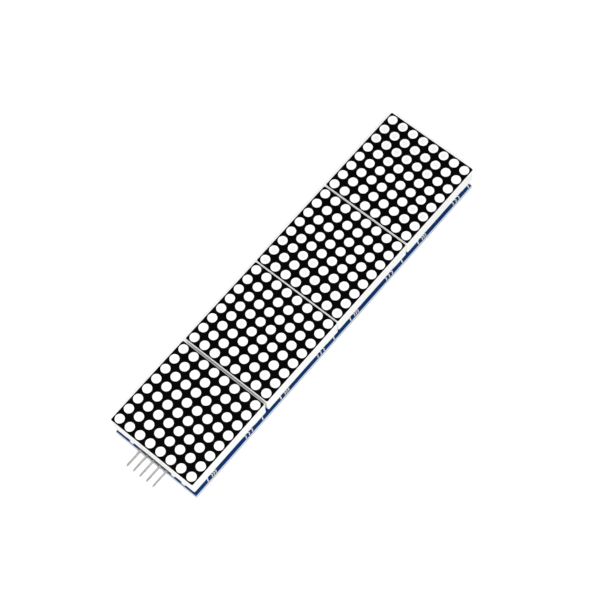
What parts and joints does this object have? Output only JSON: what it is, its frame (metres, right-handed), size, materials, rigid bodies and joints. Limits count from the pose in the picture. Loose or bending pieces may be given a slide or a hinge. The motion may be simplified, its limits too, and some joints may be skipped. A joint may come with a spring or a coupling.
{
  "type": "led dot matrix",
  "caption": "Row of square LED dot displays with black faces and white dots, plugged into a long blue circuit board with a right-angle pin header at its input end.",
  "frame": {"origin": "centre of the board on its back face, which is the centre of its fixing holes", "axes": "+X from the input header end to the output end, +Y across the board, +Z out through the display faces"},
  "size_m": [0.1357, 0.0321, 0.013],
  "materials": {
    "board": "blue solder mask over glass-epoxy laminate, white print",
    "header_moulding": "moulded black nylon",
    "header_pin": "tin-plated square wire",
    "solder": "soft solder, satin",
    "housing": "white moulded plastic, fine satin",
    "face_film": "black printed film, satin",
    "resin": "milky white casting resin",
    "inner_board": "bare glass-epoxy laminate",
    "die": "die with gold contact",
    "display_pin": "tin-plated round wire",
    "socket_moulding": "moulded black polyester",
    "contact": "turned brass, thin gold plate",
    "chip_moulding": "moulded black epoxy, fine grain",
    "chip_lead": "tin-plated copper",
    "capacitor_body": "fired ceramic",
    "resistor_body": "alumina with black glaze"
  },
  "bodies": {
    "root": {"main_board": "board", "header_body": "header_moulding", "header_pins": "header_pin", "header_solder": "solder", "socket_solder_1": "solder", "socket_solder_2": "solder", "socket_solder_3": "solder", "socket_solder_4": "solder", "housing_1": "housing", "housing_2": "housing", "housing_3": "housing", "housing_4": "housing", "face_film_1": "face_film", "face_film_2": "face_film", "face_film_3": "face_film", "face_film_4": "face_film", "resin_1": "resin", "resin_2": "resin", "resin_3": "resin", "resin_4": "resin", "led_board_1": "inner_board", "led_board_2": "inner_board", "led_board_3": "inner_board", "led_board_4": "inner_board", "led_dies_1": "die", "led_dies_2": "die", "led_dies_3": "die", "led_dies_4": "die", "display_pins_1": "display_pin", "display_pins_2": "display_pin", "display_pins_3": "display_pin", "display_pins_4": "display_pin", "socket_strips_1": "socket_moulding", "socket_strips_2": "socket_moulding", "socket_strips_3": "socket_moulding", "socket_strips_4": "socket_moulding", "socket_contacts_1": "contact", "socket_contacts_2": "contact", "socket_contacts_3": "contact", "socket_contacts_4": "contact", "driver_chip_1": "chip_moulding", "driver_chip_2": "chip_moulding", "driver_chip_3": "chip_moulding", "driver_chip_4": "chip_moulding", "driver_leads_1": "chip_lead", "driver_leads_2": "chip_lead", "driver_leads_3": "chip_lead", "driver_leads_4": "chip_lead", "bulk_capacitor_ends": "chip_lead", "bypass_capacitor_ends": "chip_lead", "set_resistor_ends": "chip_lead", "bulk_capacitors": "capacitor_body", "bypass_capacitors": "capacitor_body", "set_resistors": "resistor_body"}
  },
  "joints": []
}
